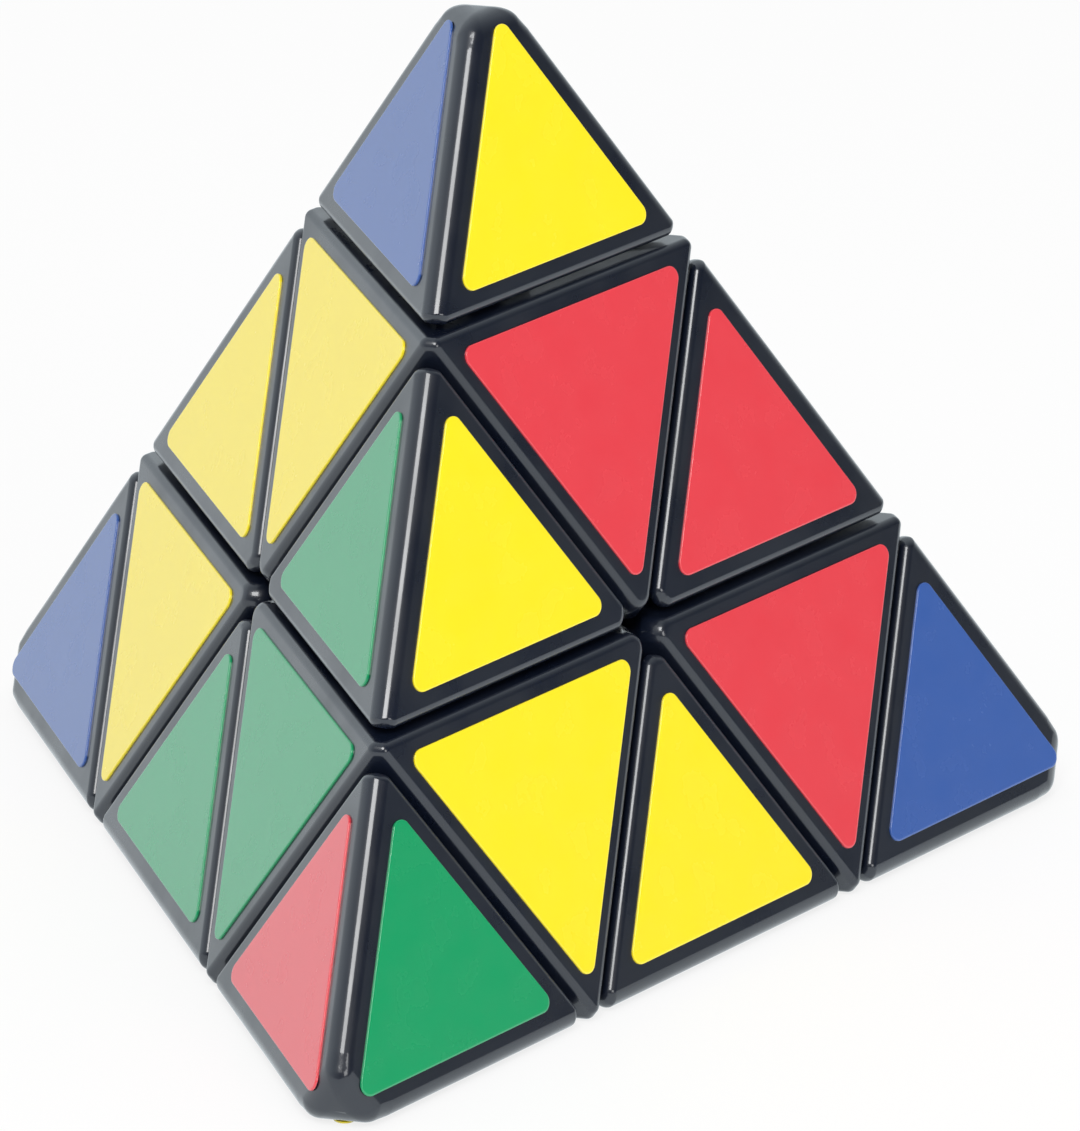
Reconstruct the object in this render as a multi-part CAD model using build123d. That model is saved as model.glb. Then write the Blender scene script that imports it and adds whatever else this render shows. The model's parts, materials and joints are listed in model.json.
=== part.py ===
"""Pyramid twisty puzzle: a three-layer tetrahedron that turns about its four corner axes.

The origin is the core's centre, where the four corner axes meet. The top corner is on +Z, the front
corner points along -Y, and the puzzle stands on the stickers of its bottom face.

A layer is all that lies beyond the plane n.p = layer_height, with n the unit vector towards that layer's
corner. Inside the ball of radius hook_outer the layers are divided by cones instead of planes, so each
edge piece keeps a foot that reaches under its two axial pieces and holds it in.
"""

from build123d import *
from itertools import combinations
from math import acos, cos, degrees, radians, sin, sqrt, tan
import os

# ---- driving dimensions, mm and degrees ----
edge_length = 105.0         # whole pyramid before rounding, sharp corner to sharp corner
layer_gap = 0.5             # open seam between two neighbouring pieces
corner_cut = 5.9            # how far each corner of the pyramid is cut back before rounding
corner_radius = 2.5         # rounding of that cut
ridge_radius = 1.45         # rounding of the ridges and of the edges that run inwards
seam_radius = 0.8           # rounding of the lips along the seams

running_gap = 0.35          # clearance between hidden parts that turn on each other
cone_half_angle = 70.0      # half angle of the cone that a layer turns in, under 70.5
hook_angle = 8.5            # how far an edge piece's foot reaches under its neighbours
hook_thickness = 4.7        # radial thickness of the feet

arm_radius = 4.0            # core arm that an axial piece turns on
arm_reach = 2.6             # how far the arm passes the outer side of the feet
screw_radius = 1.5          # corner screw's shank
screw_bite = 11.0           # length of shank in the core
thread_play = 0.05          # radial play of the screw in the core's hole
head_radius = 2.8
head_height = 2.2
head_slot = 0.7             # width of the cross slot in the head
head_slot_depth = 1.1
washer_thickness = 0.6
spring_wire = 0.6
spring_pitch = 1.45
seat_play = 0.05            # clearance of a washer, spring or plug on its seat

tip_wall = 1.8              # wall of the hollow tip, square to its faces
plug_thickness = 2.6        # tip base, pressed into the open side of the tip
plug_corner_radius = 2.0
collar_radius = 4.2         # raised bearing ring that carries the tip

sticker_thickness = 0.2
sticker_corner_radius = 1.0
tip_border = 2.9            # bare plastic around each sticker, from the piece's sharp edge
axial_border = 1.75
edge_border = 2.8
ridge_shift = 0.4           # how far the stickers beside a ridge sit off it, towards the face's middle

# ---- what follows from them ----
height = edge_length * sqrt(2 / 3)
corner_distance = height * 3 / 4        # core centre to a sharp corner
blunt_distance = corner_distance - corner_cut
tip_height = height * 5 / 12            # core centre to a tip's seam
layer_height = height / 12              # core centre to a layer's seam
face_distance = height / 4              # core centre to an outer face
cell_side = edge_length / 3             # side of one sticker's cell
cell_radius = cell_side / sqrt(3)       # its corner circle
half_gap = layer_gap / 2

hook_outer = layer_height / cos(radians(cone_half_angle - hook_angle))
hook_inner = hook_outer - hook_thickness
core_radius = hook_inner - running_gap
arm_end = hook_outer + arm_reach
corner_axis_angle = degrees(acos(-1 / 3))
stalk_half_angle = corner_axis_angle - cone_half_angle

face_slope = sqrt(8) / 3                # cosine of a face's lean from its corner axis
tip_floor = tip_height + half_gap
plug_top = tip_floor + plug_thickness
cavity_radius = head_radius + running_gap
cavity_top = corner_distance - 3 * (tip_wall + cavity_radius * face_slope)
plug_inradius = ((corner_distance - plug_top) / 3 - tip_wall) / face_slope
washer_base = plug_top + seat_play
washer_top = washer_base + washer_thickness
head_top = cavity_top - running_gap
head_base = head_top - head_height
screw_hole_radius = screw_radius + running_gap
screw_start = arm_end - screw_bite

CORNERS = {
    "apex": Vector(0, 0, 1),
    "front": Vector(0, -face_slope, -1 / 3),
    "right": Vector(sqrt(2 / 3), sqrt(2) / 3, -1 / 3),
    "left": Vector(-sqrt(2 / 3), sqrt(2) / 3, -1 / 3),
}
# each outer face is named for its side and given by the corner opposite to it
FACES = {"left": "right", "right": "left", "back": "front", "bottom": "apex"}


def along(corner):
    """A plane at the core's centre whose z axis runs out to a corner."""
    return Plane(origin=(0, 0, 0), z_dir=CORNERS[corner])


def rod(corner, radius, start, end):
    """A cylinder on a corner's axis, between two distances from the core's centre."""
    upright = Pos(0, 0, (start + end) / 2) * Cylinder(radius, end - start)
    return along(corner) * upright


def cone(corner, half_angle, inset):
    """A cone on a corner's axis with its tip near the centre, its wall moved inwards by inset."""
    tip = inset / sin(radians(half_angle))
    upright = Pos(0, 0, tip + edge_length / 2)
    upright *= Cone(0, edge_length * tan(radians(half_angle)), edge_length)
    return along(corner) * upright


def bounded(planes):
    """The block on the inner side of every plane, each given as its outward unit vector and distance."""
    block = Box(4 * edge_length, 4 * edge_length, 4 * edge_length)
    for normal, distance in planes:
        block = split(block, Plane(origin=normal * distance, z_dir=normal), Keep.BOTTOM)
    return block


def outer_faces(corners):
    """The pyramid's outer faces that meet at all the given corners."""
    return [(-CORNERS[c], face_distance) for c in CORNERS if c not in corners]


def lies_on(edge, corner, distance):
    """True for an edge on the plane square to a corner's axis at a distance from the core's centre."""
    return abs(edge.position_at(0.5).dot(CORNERS[corner]) - distance) < 1e-4


def is_lip(edge):
    """True for an edge along a seam: on just one of the pyramid's outer faces.

    The very short edges, where an axial piece comes to a point at a ridge, are taken as lips too."""
    faces = [c for c in CORNERS if lies_on(edge, c, -face_distance)]
    return edge.length < 2 * layer_gap or len(faces) == 1


def rounded(block):
    """Rounds the cut corner, then the ridges and the edges that run inwards, then the lips along the seams."""
    cut = [edge for edge in block.edges() if any(lies_on(edge, c, blunt_distance) for c in CORNERS)]
    if cut:
        block = fillet(cut, corner_radius)
    block = fillet([edge for edge in block.edges() if not is_lip(edge)], ridge_radius)
    return fillet(block.edges(), seam_radius)


def core():
    """Ball with an arm along each corner axis, each with a threaded hole for its screw."""
    body = Sphere(core_radius)
    for corner in CORNERS:
        body += rod(corner, arm_radius, 0, arm_end)
    for corner in CORNERS:
        body -= rod(corner, screw_radius + thread_play, screw_start - seat_play, arm_end + 1)
    return body


def screw(corner):
    """Long pan-head screw from inside the tip into the core, with a cross slot."""
    head = Pos(0, 0, head_base + head_height / 2) * Cylinder(head_radius, head_height)
    head = fillet(head.edges().group_by(Axis.Z)[-1], head_height / 3)
    shank = Pos(0, 0, (screw_start + head_base) / 2) * Cylinder(screw_radius, head_base - screw_start)
    slot = Box(1.3 * head_radius, head_slot, 2 * head_slot_depth)
    cross = Pos(0, 0, head_top) * (slot + Rot(0, 0, 90) * slot)
    return along(corner) * (head + shank - cross)


def washer(corner):
    """Flat ring under the spring, on the tip's base."""
    ring = rod(corner, head_radius, washer_base, washer_top)
    return ring - rod(corner, screw_hole_radius, washer_base - 1, washer_top + 1)


def spring(corner):
    """Coil between the washer and the screw's head, which holds the layers together."""
    length = head_base - washer_top - spring_wire - 2 * seat_play
    coil_radius = head_radius - spring_wire / 2
    path = Helix(spring_pitch, length, coil_radius)
    start = Plane(origin=path @ 0, z_dir=path % 0)
    coil = sweep(start * Circle(spring_wire / 2), path, is_frenet=True)
    return along(corner) * (Pos(0, 0, washer_top + seat_play + spring_wire / 2) * coil)


def axial(corner):
    """Eight-sided piece that turns on its core arm, with a stalk between the edge pieces' feet."""
    others = [c for c in CORNERS if c != corner]
    planes = [(CORNERS[corner], tip_height - half_gap)] + outer_faces([corner])
    planes += [(CORNERS[c], layer_height - half_gap) for c in others]
    body = rounded(bounded(planes)) - Sphere(hook_outer + running_gap)
    seam = Plane(origin=CORNERS[corner] * (layer_height + half_gap), z_dir=CORNERS[corner])
    body = split(body, seam, Keep.TOP)
    stalk = cone(corner, stalk_half_angle, running_gap / 2) & Sphere(hook_outer + running_gap + 0.5)
    body += stalk - Sphere(hook_inner)
    collar_base = tip_height - half_gap
    body += rod(corner, collar_radius, collar_base - seam_radius, tip_floor - seat_play)
    body -= rod(corner, arm_radius + running_gap, 0, arm_end + running_gap)
    return body - rod(corner, screw_hole_radius, 0, tip_height + 1)


def edge_piece(first, second):
    """Four-sided piece on the ridge between two corners, with a foot that hooks under both axials."""
    pair = (first, second)
    planes = [(-CORNERS[c], -layer_height - half_gap) for c in pair] + outer_faces(pair)
    body = rounded(bounded(planes)) - Sphere(hook_outer)
    foot = Sphere(hook_outer) - Sphere(hook_inner)
    for corner in pair:
        foot &= cone(corner, cone_half_angle, running_gap / 2)
    return body + foot


def tip_cap(corner):
    """Hollow corner point, open underneath for its base and the screw's head."""
    planes = [(-CORNERS[corner], -tip_floor), (CORNERS[corner], blunt_distance)]
    body = rounded(bounded(planes + outer_faces([corner])))
    body -= plug_block(corner, seat_play)
    return body - rod(corner, cavity_radius, plug_top - 1, cavity_top)


def plug_block(corner, play=0.0):
    """Three-sided plug that closes a tip, its flats along the tip's faces."""
    triangle = RegularPolygon(plug_inradius + play, 3, major_radius=False)
    triangle = fillet(triangle.vertices(), plug_corner_radius + play)
    across = next(c for c in CORNERS if c != corner)
    inwards = CORNERS[across] - CORNERS[corner] * CORNERS[across].dot(CORNERS[corner])
    plane = Plane(origin=CORNERS[corner] * tip_floor, x_dir=inwards, z_dir=CORNERS[corner])
    return plane * extrude(triangle, plug_thickness + play)


def tip_base(corner):
    """Floor of a tip, with the hole that it turns on the screw by."""
    return plug_block(corner) - rod(corner, screw_hole_radius, tip_floor - 1, plug_top + 1)


def sticker(face, middle, towards, border):
    """Rounded triangle on an outer face, centred on middle with one corner pointing towards a point."""
    normal = -CORNERS[FACES[face]]
    triangle = RegularPolygon(cell_radius - 2 * border, 3)
    triangle = fillet(triangle.vertices(), sticker_corner_radius)
    plane = Plane(origin=middle, x_dir=towards - middle, z_dir=normal)
    return plane * extrude(triangle, sticker_thickness)


def weighted(weights):
    """A point on the pyramid, from how much each sharp corner counts."""
    total = sum(weights.values())
    return sum((CORNERS[c] * w for c, w in weights.items()), Vector()) * (corner_distance / total)


def off_ridge(middle, centre):
    """A sticker's middle moved off the ridge beside it, towards the face's middle."""
    return middle + (centre - middle).normalized() * ridge_shift


def face_stickers(face):
    """The nine stickers of one face, by node name."""
    made = {}
    corners = [c for c in CORNERS if c != FACES[face]]
    centre = weighted({c: 1 for c in corners})
    for corner in corners:
        tip_middle = off_ridge(weighted({c: 7 if c == corner else 1 for c in corners}), centre)
        axial_middle = weighted({c: 5 if c == corner else 2 for c in corners})
        across = next(c for c in corners if c != corner)
        rest = [c for c in corners if c != corner]
        made[f"sticker_tip_{corner}_{face}"] = sticker(face, tip_middle, weighted({corner: 1}), tip_border)
        made[f"sticker_axial_{corner}_{face}"] = sticker(face, axial_middle, centre, axial_border)
        edge_middle = off_ridge(weighted({c: 1 if c == corner else 4 for c in corners}), centre)
        made[f"sticker_edge_{rest[0]}_{rest[1]}_{face}"] = sticker(face, edge_middle, centre, edge_border)
    return made


def all_nodes():
    """Every piece of the puzzle, by node name."""
    nodes = {"core": core()}
    nodes["corner_screws"] = Compound([part for c in CORNERS for part in screw(c).solids()])
    nodes["corner_springs"] = Compound([part for c in CORNERS for part in spring(c).solids()])
    nodes["corner_washers"] = Compound([part for c in CORNERS for part in washer(c).solids()])
    for corner in CORNERS:
        nodes[f"axial_{corner}"] = axial(corner)
        nodes[f"tip_base_{corner}"] = tip_base(corner)
        nodes[f"tip_cap_{corner}"] = tip_cap(corner)
    for first, second in combinations(CORNERS, 2):
        nodes[f"edge_{first}_{second}"] = edge_piece(first, second)
    for face in FACES:
        nodes.update(face_stickers(face))
    return nodes


os.makedirs("parts", exist_ok=True)
for name, shape in all_nodes().items():
    export_step(shape, f"parts/{name}.step")
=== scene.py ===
"""Looks of the pyramid twisty puzzle: moulded pieces, vinyl stickers, steel hardware and a plain studio."""

import json
import math

import bmesh
import bpy
import numpy as np
from bpy.props import FloatProperty, FloatVectorProperty, PointerProperty
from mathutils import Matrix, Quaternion, Vector


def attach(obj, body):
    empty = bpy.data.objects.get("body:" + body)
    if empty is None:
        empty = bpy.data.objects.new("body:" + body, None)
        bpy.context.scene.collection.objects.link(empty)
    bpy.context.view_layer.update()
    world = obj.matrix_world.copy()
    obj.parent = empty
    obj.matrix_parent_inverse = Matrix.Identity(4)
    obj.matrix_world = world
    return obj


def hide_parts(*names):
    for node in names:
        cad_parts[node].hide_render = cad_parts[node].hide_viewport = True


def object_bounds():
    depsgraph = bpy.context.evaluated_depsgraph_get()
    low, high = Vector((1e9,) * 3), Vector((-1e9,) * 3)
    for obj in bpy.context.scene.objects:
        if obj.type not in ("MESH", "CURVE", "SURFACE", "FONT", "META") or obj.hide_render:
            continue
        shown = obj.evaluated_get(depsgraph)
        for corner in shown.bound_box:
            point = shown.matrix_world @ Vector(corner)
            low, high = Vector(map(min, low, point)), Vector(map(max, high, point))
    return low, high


bl_info = {
    "name": "Pyramid Twisty Puzzle",
    "version": (1, 0, 0),
    "blender": (4, 5, 0),
    "location": "3D View > Sidebar > Puzzle",
    "description": "Finishes a pyramid twisty puzzle around its packed model and sets up its studio",
    "category": "Object",
}

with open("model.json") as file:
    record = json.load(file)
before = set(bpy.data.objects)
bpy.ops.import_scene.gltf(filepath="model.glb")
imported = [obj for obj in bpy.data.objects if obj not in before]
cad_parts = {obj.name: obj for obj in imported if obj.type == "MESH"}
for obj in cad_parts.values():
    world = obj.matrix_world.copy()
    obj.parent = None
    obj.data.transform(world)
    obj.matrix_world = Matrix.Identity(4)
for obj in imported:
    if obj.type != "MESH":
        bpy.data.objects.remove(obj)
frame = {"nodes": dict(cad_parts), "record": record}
cad_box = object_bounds()
record = frame["record"]
slot_of = {part["node"]: part["material_slot"] for part in record["subparts"]}
body_of = {node: body for body, nodes in record["behaviour"]["bodies"].items() for node in nodes}

MM = 0.001
COOL_WHITE = (0.86, 0.95, 1.0)
PLAIN_WHITE = (1.0, 1.0, 1.0)
PAPER_WHITE = (0.96, 0.96, 0.96)
PAPER_GLOW = 0.80  # how far the floor is lifted towards white for the camera and in reflections
BRIGHT_SIDE = (-0.86, 0.5, 0.1)  # where the reflected room is brightest
ROOM_DARKEST = 0.08
ROOM_BRIGHTEST = 1.0
FRONT_SOFTBOX = (0.08, -0.66, 0.73)  # directions from the core
RIGHT_SOFTBOX = (0.75, -0.80, 0.35)
FRONT_SOFTBOX_DISTANCE = 1.2
RIGHT_SOFTBOX_DISTANCE = 1.4
SOFTBOX_SIZE = 0.5
SENSOR_WIDTH = 36.0
FLOOR_CLEARANCE = 0.02 * MM  # keeps the floor clear of the stickers that the puzzle stands on

MERGE_DISTANCE = 0.0005 * MM
MOULDING_SHARP_ANGLE = math.radians(35)  # faces that meet at more than this keep a crisp line
FILM_SHARP_ANGLE = math.radians(50)
FLAT_FACE_WEIGHT = 90
CORNER_STEPS = 14  # points on each rounded corner of a sticker
RIM_STEPS = 5  # rings up a sticker's rounded rim
FLAT_INSET = 2.5  # the ring that keeps a sticker's top flat, in rim radii

# outward directions of the four outer faces, in the shared frame
FACE_NORMALS = {
    "left": np.array((-math.sqrt(2 / 3), -math.sqrt(2) / 3, 1 / 3)),
    "right": np.array((math.sqrt(2 / 3), -math.sqrt(2) / 3, 1 / 3)),
    "back": np.array((0.0, math.sqrt(8) / 3, 1 / 3)),
    "bottom": np.array((0.0, 0.0, -1.0)),
}


# ---------------------------------------------------------------- settings


class StickerSettings(bpy.types.PropertyGroup):
    """Shape and colours of the stickers"""

    corner_radius: FloatProperty(
        name="Corner radius", description="Rounding of a sticker's three corners", default=1.0 * MM,
        unit="LENGTH"
    )
    rim_radius: FloatProperty(
        name="Rim radius", description="Rounding of the cut edge along the top", default=0.09 * MM,
        unit="LENGTH"
    )
    yellow: FloatVectorProperty(
        name="Yellow", description="Colour of the yellow vinyl", default=(1.0, 0.80, 0.008),
        subtype="COLOR"
    )
    red: FloatVectorProperty(
        name="Red", description="Colour of the red vinyl", default=(0.78, 0.048, 0.066), subtype="COLOR"
    )
    green: FloatVectorProperty(
        name="Green", description="Colour of the green vinyl", default=(0.0, 0.33, 0.115), subtype="COLOR"
    )
    blue: FloatVectorProperty(
        name="Blue", description="Colour of the blue vinyl", default=(0.036, 0.105, 0.38), subtype="COLOR"
    )
    gloss: FloatProperty(
        name="Roughness", description="How blurred the vinyl's reflections are", default=0.24,
        min=0.0, max=1.0
    )


class PlasticSettings(bpy.types.PropertyGroup):
    """Finish of the moulded pieces"""

    colour: FloatVectorProperty(
        name="Colour", description="Colour of the moulded plastic", default=(0.005, 0.008, 0.018),
        subtype="COLOR"
    )
    gloss: FloatProperty(
        name="Roughness", description="How blurred the plastic's reflections are", default=0.30,
        min=0.0, max=1.0
    )
    grain: FloatProperty(
        name="Grain depth", description="Depth of the fine mould texture", default=0.004 * MM, unit="LENGTH"
    )


class StudioSettings(bpy.types.PropertyGroup):
    """Camera, lamps and floor"""

    azimuth: FloatProperty(
        name="Azimuth", description="Camera's turn round the puzzle", default=math.radians(11.546),
        subtype="ANGLE"
    )
    elevation: FloatProperty(
        name="Elevation", description="Camera's height angle", default=math.radians(22.43), subtype="ANGLE"
    )
    roll: FloatProperty(
        name="Roll", description="Camera's tilt", default=math.radians(0.565), subtype="ANGLE"
    )
    distance: FloatProperty(
        name="Distance", description="Camera to the point above the core", default=0.7816, unit="LENGTH"
    )
    lens: FloatProperty(name="Lens", description="Focal length in millimetres", default=298.66)
    centre_height: FloatProperty(
        name="Centre height", description="Height over the core that the camera turns about",
        default=10.706 * MM, unit="LENGTH"
    )
    aim_right: FloatProperty(
        name="Aim right", description="Aimed point to the right of that centre", default=5.734 * MM,
        unit="LENGTH"
    )
    aim_up: FloatProperty(
        name="Aim up", description="Aimed point above that centre", default=-3.442 * MM, unit="LENGTH"
    )
    floor_size: FloatProperty(name="Floor size", description="Side of the floor", default=8.0, unit="LENGTH")
    sky: FloatProperty(name="Sky", description="Strength of the even light all round", default=0.65)
    key: FloatProperty(name="Key", description="Power of the softbox in front, watts", default=6.8)
    fill: FloatProperty(name="Fill", description="Power of the wide lamp on the right, watts", default=3.0)


# ---------------------------------------------------------------- materials


def new_material(name):
    """A node material that holds only a Principled shader: the material, its node tree and the shader."""
    material = bpy.data.materials.new(name)
    material.use_nodes = True
    tree = material.node_tree
    tree.nodes.clear()
    shader = tree.nodes.new("ShaderNodeBsdfPrincipled")
    output = tree.nodes.new("ShaderNodeOutputMaterial")
    tree.links.new(shader.outputs["BSDF"], output.inputs["Surface"])
    return material, tree, shader


def noise(tree, scale, detail=3.0, stretch=(1.0, 1.0, 1.0)):
    """A noise texture on Object coordinates, with scale in features per metre."""
    place = tree.nodes.new("ShaderNodeTexCoord")
    mapping = tree.nodes.new("ShaderNodeMapping")
    mapping.inputs["Scale"].default_value = stretch
    texture = tree.nodes.new("ShaderNodeTexNoise")
    texture.inputs["Scale"].default_value = scale
    texture.inputs["Detail"].default_value = detail
    tree.links.new(place.outputs["Object"], mapping.inputs["Vector"])
    tree.links.new(mapping.outputs["Vector"], texture.inputs["Vector"])
    return texture.outputs["Fac"]


def remap(tree, value, low, high, start=0.3, end=0.7):
    """Carries a noise value from start..end to low..high."""
    node = tree.nodes.new("ShaderNodeMapRange")
    node.inputs["From Min"].default_value = start
    node.inputs["From Max"].default_value = end
    node.inputs["To Min"].default_value = low
    node.inputs["To Max"].default_value = high
    tree.links.new(value, node.inputs["Value"])
    return node.outputs["Result"]


def mottled(tree, value, dark, light):
    """A colour between dark and light by value."""
    node = tree.nodes.new("ShaderNodeMix")
    node.data_type = "RGBA"
    node.inputs["A"].default_value = (*dark, 1.0)
    node.inputs["B"].default_value = (*light, 1.0)
    tree.links.new(value, node.inputs["Factor"])
    return node.outputs["Result"]


def bump(tree, shader, value, depth, before=None):
    """Adds a bump of the given depth in metres to a shader's normal."""
    node = tree.nodes.new("ShaderNodeBump")
    node.inputs["Strength"].default_value = 1.0
    node.inputs["Distance"].default_value = depth
    tree.links.new(value, node.inputs["Height"])
    if before is not None:
        tree.links.new(before, node.inputs["Normal"])
    tree.links.new(node.outputs["Normal"], shader.inputs["Normal"])
    return node.outputs["Normal"]


def either(tree, first, second):
    """The larger of two ray tests, which is 1 where either holds."""
    node = tree.nodes.new("ShaderNodeMath")
    node.operation = "MAXIMUM"
    tree.links.new(first, node.inputs[0])
    tree.links.new(second, node.inputs[1])
    return node.outputs["Value"]


def shades(colour, spread):
    """A colour made darker and lighter by spread."""
    return tuple(c * (1 - spread) for c in colour), tuple(min(1.0, c * (1 + spread)) for c in colour)


def moulded_plastic(settings):
    """Glossy black styrene: faint mould texture, slow flow waviness and handling smudges."""
    material, tree, shader = new_material("moulded_black_plastic")
    shader.inputs["IOR"].default_value = 1.5
    shader.inputs["Coat Weight"].default_value = 1.0
    shader.inputs["Coat Roughness"].default_value = 0.08
    dark, light = shades(settings.colour, 0.25)
    tree.links.new(mottled(tree, noise(tree, 90.0), dark, light), shader.inputs["Base Color"])
    smudges = remap(tree, noise(tree, 140.0, 6.0), settings.gloss * 0.75, settings.gloss * 1.6)
    tree.links.new(smudges, shader.inputs["Roughness"])
    waviness = bump(tree, shader, noise(tree, 160.0, 1.0), settings.grain * 2.0)
    bump(tree, shader, noise(tree, 2600.0, 2.0), settings.grain * 0.35, waviness)
    return material


def vinyl(name, colour, settings):
    """Printed vinyl film: a flat colour that varies a little, a faint grain and a soft gloss."""
    material, tree, shader = new_material(name)
    shader.inputs["IOR"].default_value = 1.5
    shader.inputs["Coat Weight"].default_value = 1.0
    shader.inputs["Coat Roughness"].default_value = 0.12
    dark, light = shades(colour, 0.02)
    tree.links.new(mottled(tree, noise(tree, 220.0, 4.0), dark, light), shader.inputs["Base Color"])
    blur = remap(tree, noise(tree, 300.0, 4.0), settings.gloss * 0.85, settings.gloss * 1.25)
    tree.links.new(blur, shader.inputs["Roughness"])
    waviness = bump(tree, shader, noise(tree, 60.0, 1.0), 0.0015 * MM)
    bump(tree, shader, noise(tree, 3500.0, 2.0), 0.0003 * MM, waviness)
    return material


def plated_steel():
    """Zinc-plated steel with fine turning marks."""
    material, tree, shader = new_material("plated_steel")
    shader.inputs["Metallic"].default_value = 1.0
    tone = mottled(tree, noise(tree, 500.0), (0.46, 0.47, 0.49), (0.62, 0.63, 0.66))
    tree.links.new(tone, shader.inputs["Base Color"])
    tree.links.new(remap(tree, noise(tree, 1500.0, 5.0), 0.22, 0.42), shader.inputs["Roughness"])
    bump(tree, shader, noise(tree, 4000.0, 2.0, (1.0, 1.0, 0.1)), 0.002 * MM)
    return material


# ---------------------------------------------------------------- shapes


def add_piece(name, mesh, material, node):
    """Links a finished mesh as a piece that stands for a CAD node and rides on its body."""
    piece = bpy.data.objects.new(name, mesh)
    bpy.context.scene.collection.objects.link(piece)
    mesh.materials.clear()
    mesh.materials.append(material)
    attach(piece, body_of[node])
    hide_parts(node)
    return piece


def merged_copy(node, name):
    """A copy of a CAD node's mesh with its loose triangles joined and its roundings shaded smooth."""
    mesh = frame["nodes"][node].data.copy()
    mesh.name = name
    work = bmesh.new()
    work.from_mesh(mesh)
    bmesh.ops.remove_doubles(work, verts=work.verts, dist=MERGE_DISTANCE)
    work.to_mesh(mesh)
    work.free()
    mesh.polygons.foreach_set("use_smooth", np.ones(len(mesh.polygons), dtype=bool))
    mesh.set_sharp_from_angle(angle=MOULDING_SHARP_ANGLE)
    return mesh


def sticker_layout(node, face):
    """Where a sticker's CAD solid lies: its middle on the plastic, the unit vectors towards one corner,
    across and outwards, its inner radius and its thickness.

    The middle is the mean of its corners. With z = x + iy for each corner about the middle, the sum of z
    cubed turns three times as fast as the triangle does, so a third of its angle is a corner's direction."""
    vertices = frame["nodes"][node].data.vertices
    points = np.empty(3 * len(vertices))
    vertices.foreach_get("co", points)
    points = np.unique(points.reshape(-1, 3).round(7), axis=0)
    outward = FACE_NORMALS[face]
    heights = points @ outward
    middle = points.mean(axis=0)
    middle = middle + (heights.min() - middle @ outward) * outward
    first = np.cross(outward, (0.0, 0.0, 1.0) if abs(outward[2]) < 0.9 else (0.0, 1.0, 0.0))
    first /= np.linalg.norm(first)
    second = np.cross(outward, first)
    turned = (points - middle) @ first + 1j * ((points - middle) @ second)
    angle = np.angle((turned**3).sum()) / 3
    along = math.cos(angle) * first + math.sin(angle) * second
    inner_radius = -((points - middle) @ along).min()
    return middle, along, np.cross(outward, along), outward, inner_radius, heights.max() - heights.min()


def rounded_triangle(inner_radius, corner_radius):
    """Outline of an equilateral triangle with one corner on +x, and the outline's outward normals.

    Each corner is an arc of a third of a turn about a point at twice (inner radius - corner radius) from
    the middle; the straight sides join the arcs."""
    corner = np.arange(3)[:, None] * (2 * math.pi / 3)
    angle = corner + np.linspace(-math.pi / 3, math.pi / 3, CORNER_STEPS)[None, :]
    normals = np.stack([np.cos(angle), np.sin(angle)], axis=-1)
    centres = 2 * (inner_radius - corner_radius) * np.stack([np.cos(corner), np.sin(corner)], axis=-1)
    return (centres + corner_radius * normals).reshape(-1, 2), normals.reshape(-1, 2)


def stacked_mesh(name, outline, normals, insets, heights, axes, middle):
    """A closed piece of sheet: the outline moved inwards by each inset at each height, ring on ring.

    Point (i, j) is outline j minus inset i times its normal, at height i; the first and the last ring are
    closed by a fan round the middle. axes holds the unit vectors along, across and outwards."""
    rings, around = len(insets), len(outline)
    flat = outline[None, :, :] - np.asarray(insets)[:, None, None] * normals[None, :, :]
    raised = np.broadcast_to(np.asarray(heights)[:, None, None], (rings, around, 1))
    local = np.concatenate([flat, raised], axis=2).reshape(-1, 3)
    ends = np.array([(0.0, 0.0, heights[0]), (0.0, 0.0, heights[-1])])
    points = middle + np.concatenate([local, ends]) @ np.stack(axes)
    here = np.arange(around)
    after = np.roll(here, -1)
    ring = np.arange(rings - 1)[:, None] * around
    sides = np.stack([ring + here, ring + after, ring + around + after, ring + around + here], axis=-1)
    sides = sides.reshape(-1, 4)
    last = (rings - 1) * around
    under = np.stack([after, here, np.full(around, rings * around)], axis=-1)
    over = np.stack([last + here, last + after, np.full(around, rings * around + 1)], axis=-1)
    mesh = bpy.data.meshes.new(name)
    mesh.from_pydata(points.tolist(), [], sides.tolist() + under.tolist() + over.tolist())
    mesh.polygons.foreach_set("use_smooth", np.ones(len(mesh.polygons), dtype=bool))
    mesh.set_sharp_from_angle(angle=FILM_SHARP_ANGLE)
    return mesh


def sticker_mesh(node, face, settings):
    """A vinyl triangle in place of its CAD solid, with a quarter-round rim along its cut edge.

    The rim's inset is rim * (1 - cos b) and its height is thickness - rim + rim * sin b, for b from 0 to a
    quarter turn. One more ring just inside keeps the top flat."""
    middle, along, across, outward, inner_radius, thickness = sticker_layout(node, face)
    outline, normals = rounded_triangle(inner_radius, settings.corner_radius)
    rim = settings.rim_radius
    turn = np.linspace(0, math.pi / 2, RIM_STEPS)
    insets = np.concatenate([[0.0], rim * (1 - np.cos(turn)), [FLAT_INSET * rim]])
    heights = np.concatenate([[0.0], thickness - rim + rim * np.sin(turn), [thickness]])
    return stacked_mesh(f"{node}_film", outline, normals, insets, heights, (along, across, outward), middle)


# ---------------------------------------------------------------- operators


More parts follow.
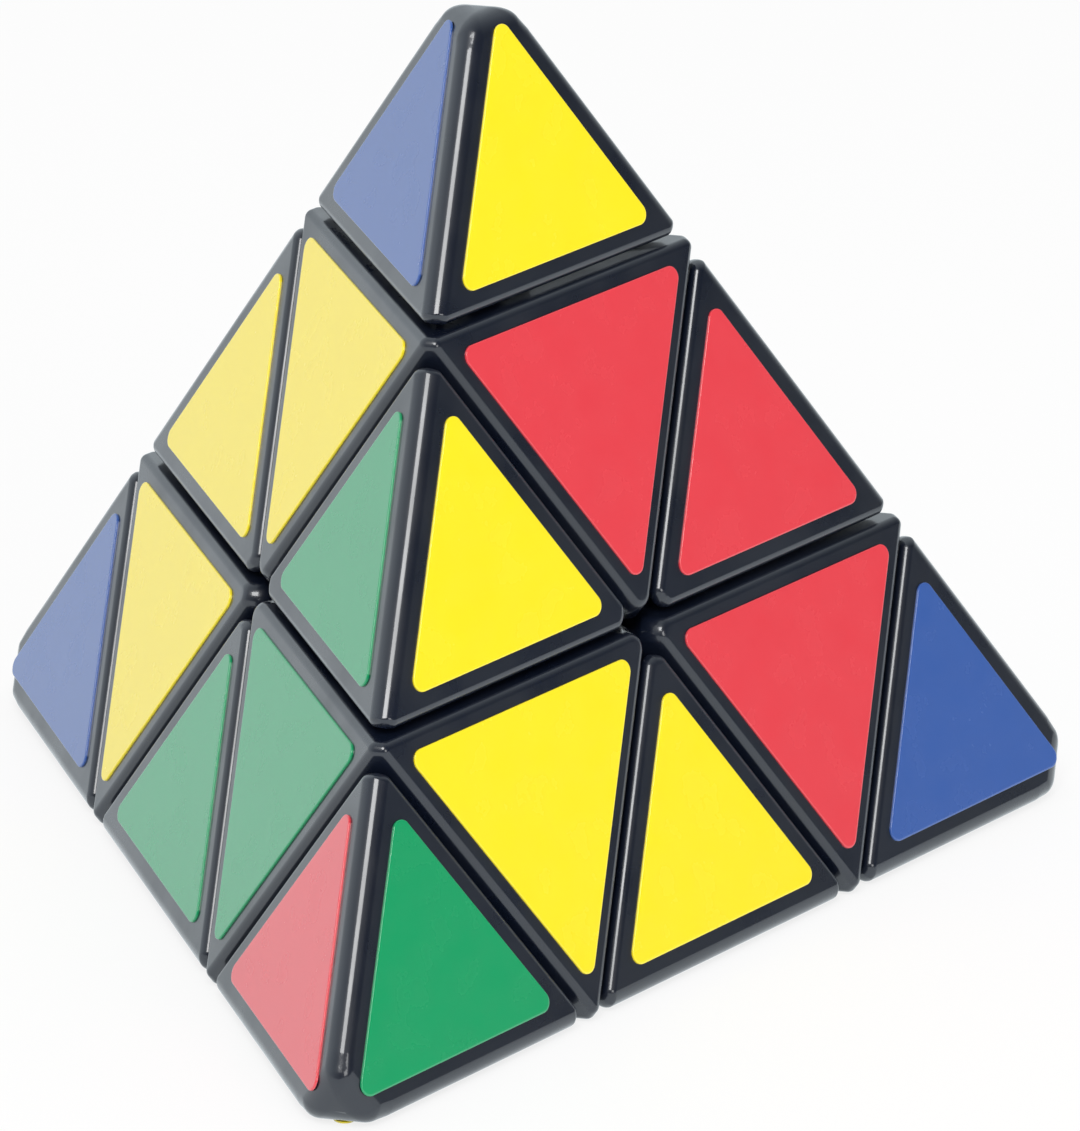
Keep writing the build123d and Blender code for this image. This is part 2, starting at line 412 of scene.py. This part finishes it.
class PUZZLE_OT_stickers(bpy.types.Operator):
    """Makes the vinyl stickers, each in the place of its CAD solid"""

    bl_idname = "puzzle.stickers"
    bl_label = "Make Stickers"

    def execute(self, context):
        settings = context.scene.puzzle_stickers
        films = {
            f"{name}_sticker": vinyl(f"{name}_vinyl", tuple(getattr(settings, name)), settings)
            for name in ("yellow", "red", "green", "blue")
        }
        for node in sorted(frame["nodes"]):
            if node.startswith("sticker_"):
                face = node.rsplit("_", 1)[1]
                add_piece(f"{node}_film", sticker_mesh(node, face, settings), films[slot_of[node]], node)
        return {"FINISHED"}


class PUZZLE_OT_plastic(bpy.types.Operator):
    """Gives the moulded pieces their smooth roundings and their glossy black finish"""

    bl_idname = "puzzle.plastic"
    bl_label = "Finish Plastic"

    def execute(self, context):
        plastic = moulded_plastic(context.scene.puzzle_plastic)
        for node in sorted(frame["nodes"]):
            if slot_of[node] != "black_plastic":
                continue
            name = f"{node}_moulding"
            piece = add_piece(name, merged_copy(node, name), plastic, node)
            flats = piece.modifiers.new("even flats", "WEIGHTED_NORMAL")
            flats.keep_sharp = True
            flats.weight = FLAT_FACE_WEIGHT
        return {"FINISHED"}


class PUZZLE_OT_hardware(bpy.types.Operator):
    """Gives the screws, springs and washers their plated steel"""

    bl_idname = "puzzle.hardware"
    bl_label = "Finish Hardware"

    def execute(self, context):
        steel = plated_steel()
        for node in sorted(frame["nodes"]):
            if slot_of[node] == "steel":
                name = f"{node}_steel"
                add_piece(name, merged_copy(node, name), steel, node)
        return {"FINISHED"}


def softbox(name, direction, distance, power):
    """A square soft lamp that shines at the puzzle from a direction."""
    lamp = bpy.data.lights.new(name, "AREA")
    lamp.size = SOFTBOX_SIZE
    lamp.energy = power
    holder = bpy.data.objects.new(name, lamp)
    holder.location = Vector(direction).normalized() * distance
    holder.rotation_euler = Vector(direction).to_track_quat("Z", "Y").to_euler()
    bpy.context.scene.collection.objects.link(holder)


def studio_world(sky):
    """Even light all round; the camera sees white, and reflections show a room brighter on the left."""
    world = bpy.data.worlds.new("studio")
    world.use_nodes = True
    tree = world.node_tree
    tree.nodes.clear()
    link = tree.links.new
    rays = tree.nodes.new("ShaderNodeLightPath")
    even = tree.nodes.new("ShaderNodeBackground")
    even.inputs["Color"].default_value = (*PLAIN_WHITE, 1.0)
    even.inputs["Strength"].default_value = sky
    room = tree.nodes.new("ShaderNodeBackground")
    room.inputs["Color"].default_value = (*COOL_WHITE, 1.0)
    white = tree.nodes.new("ShaderNodeBackground")
    white.inputs["Color"].default_value = (*PLAIN_WHITE, 1.0)
    place = tree.nodes.new("ShaderNodeTexCoord")
    side = tree.nodes.new("ShaderNodeVectorMath")
    side.operation = "DOT_PRODUCT"
    side.inputs[1].default_value = Vector(BRIGHT_SIDE).normalized()
    link(place.outputs["Generated"], side.inputs[0])
    brightness = remap(tree, side.outputs["Value"], ROOM_DARKEST, ROOM_BRIGHTEST, -0.6, 0.7)
    link(brightness, room.inputs["Strength"])
    see_room = tree.nodes.new("ShaderNodeMixShader")
    reflected = either(tree, rays.outputs["Is Glossy Ray"], rays.outputs["Is Transmission Ray"])
    link(reflected, see_room.inputs["Fac"])
    link(even.outputs["Background"], see_room.inputs[1])
    link(room.outputs["Background"], see_room.inputs[2])
    see_white = tree.nodes.new("ShaderNodeMixShader")
    link(rays.outputs["Is Camera Ray"], see_white.inputs["Fac"])
    link(see_room.outputs["Shader"], see_white.inputs[1])
    link(white.outputs["Background"], see_white.inputs[2])
    output = tree.nodes.new("ShaderNodeOutputWorld")
    link(see_white.outputs["Shader"], output.inputs["Surface"])
    return world


def floor_paper():
    """White paper: plain to diffuse rays, lifted towards white for the camera and in reflections."""
    material = bpy.data.materials.new("floor_paper")
    material.use_nodes = True
    tree = material.node_tree
    tree.nodes.clear()
    paper = tree.nodes.new("ShaderNodeBsdfDiffuse")
    paper.inputs["Color"].default_value = (*PAPER_WHITE, 1.0)
    glow = tree.nodes.new("ShaderNodeEmission")
    rays = tree.nodes.new("ShaderNodeLightPath")
    reflected = either(tree, rays.outputs["Is Glossy Ray"], rays.outputs["Is Transmission Ray"])
    seen = either(tree, rays.outputs["Is Camera Ray"], reflected)
    share = tree.nodes.new("ShaderNodeMath")
    share.operation = "MULTIPLY"
    share.inputs[1].default_value = PAPER_GLOW
    tree.links.new(seen, share.inputs[0])
    mix = tree.nodes.new("ShaderNodeMixShader")
    tree.links.new(share.outputs["Value"], mix.inputs["Fac"])
    tree.links.new(paper.outputs["BSDF"], mix.inputs[1])
    tree.links.new(glow.outputs["Emission"], mix.inputs[2])
    tint = mottled(tree, reflected, PLAIN_WHITE, COOL_WHITE)
    tree.links.new(tint, glow.inputs["Color"])
    output = tree.nodes.new("ShaderNodeOutputMaterial")
    tree.links.new(mix.outputs["Shader"], output.inputs["Surface"])
    return material


def place_camera(settings):
    """Stands the camera off along its azimuth and elevation and aims it beside the core."""
    turn, lift = settings.azimuth, settings.elevation
    back = Vector((math.sin(turn) * math.cos(lift), -math.cos(turn) * math.cos(lift), math.sin(lift)))
    right = Vector((math.cos(turn), math.sin(turn), 0.0))
    up = back.cross(right)
    centre = Vector((0.0, 0.0, settings.centre_height))
    stand = centre + back * settings.distance
    aim = centre + right * settings.aim_right + up * settings.aim_up
    lens = bpy.data.cameras.new("camera")
    lens.sensor_fit = "HORIZONTAL"
    lens.sensor_width = SENSOR_WIDTH
    lens.lens = settings.lens
    lens.clip_start = 0.01
    camera = bpy.data.objects.new("camera", lens)
    camera.location = stand
    facing = (stand - aim).to_track_quat("Z", "Y")
    facing.rotate(Quaternion((stand - aim).normalized(), settings.roll))
    camera.rotation_euler = facing.to_euler()
    bpy.context.scene.collection.objects.link(camera)
    bpy.context.scene.camera = camera


class PUZZLE_OT_studio(bpy.types.Operator):
    """Sets up the floor, the soft lamps, the surroundings and the camera"""

    bl_idname = "puzzle.studio"
    bl_label = "Set Up Studio"

    def execute(self, context):
        settings = context.scene.puzzle_studio
        half = settings.floor_size / 2
        level = cad_box[0][2] - FLOOR_CLEARANCE
        corners = [(-half, -half, level), (half, -half, level), (half, half, level), (-half, half, level)]
        mesh = bpy.data.meshes.new("floor")
        mesh.from_pydata(corners, [], [(0, 1, 2, 3)])
        mesh.materials.append(floor_paper())
        floor = bpy.data.objects.new("floor", mesh)
        context.scene.collection.objects.link(floor)
        softbox("front_softbox", FRONT_SOFTBOX, FRONT_SOFTBOX_DISTANCE, settings.key)
        softbox("right_softbox", RIGHT_SOFTBOX, RIGHT_SOFTBOX_DISTANCE, settings.fill)
        context.scene.world = studio_world(settings.sky)
        context.scene.view_settings.view_transform = "Standard"
        place_camera(settings)
        return {"FINISHED"}


class PUZZLE_PT_panel(bpy.types.Panel):
    """Lists the puzzle's operators and settings"""

    bl_idname = "PUZZLE_PT_panel"
    bl_label = "Pyramid Twisty Puzzle"
    bl_space_type = "VIEW_3D"
    bl_region_type = "UI"
    bl_category = "Puzzle"

    def draw(self, context):
        for group, operators in PARTS.items():
            box = self.layout.box()
            settings = getattr(context.scene, group)
            for name in settings.bl_rna.properties.keys():
                if name not in ("rna_type", "name"):
                    box.prop(settings, name)
            for operator in operators:
                box.operator(operator)


PARTS = {
    "puzzle_stickers": ("puzzle.stickers",),
    "puzzle_plastic": ("puzzle.plastic", "puzzle.hardware"),
    "puzzle_studio": ("puzzle.studio",),
}
SETTINGS = {
    "puzzle_stickers": StickerSettings,
    "puzzle_plastic": PlasticSettings,
    "puzzle_studio": StudioSettings,
}
CLASSES = (
    *SETTINGS.values(),
    PUZZLE_OT_stickers,
    PUZZLE_OT_plastic,
    PUZZLE_OT_hardware,
    PUZZLE_OT_studio,
    PUZZLE_PT_panel,
)


def register():
    for cls in CLASSES:
        bpy.utils.register_class(cls)
    for name, group in SETTINGS.items():
        setattr(bpy.types.Scene, name, PointerProperty(type=group))


def unregister():
    for name in SETTINGS:
        delattr(bpy.types.Scene, name)
    for cls in reversed(CLASSES):
        bpy.utils.unregister_class(cls)


def main():
    register()
    bpy.ops.puzzle.plastic()
    bpy.ops.puzzle.stickers()
    bpy.ops.puzzle.hardware()
    bpy.ops.puzzle.studio()


if __name__ == "__main__":
    main()
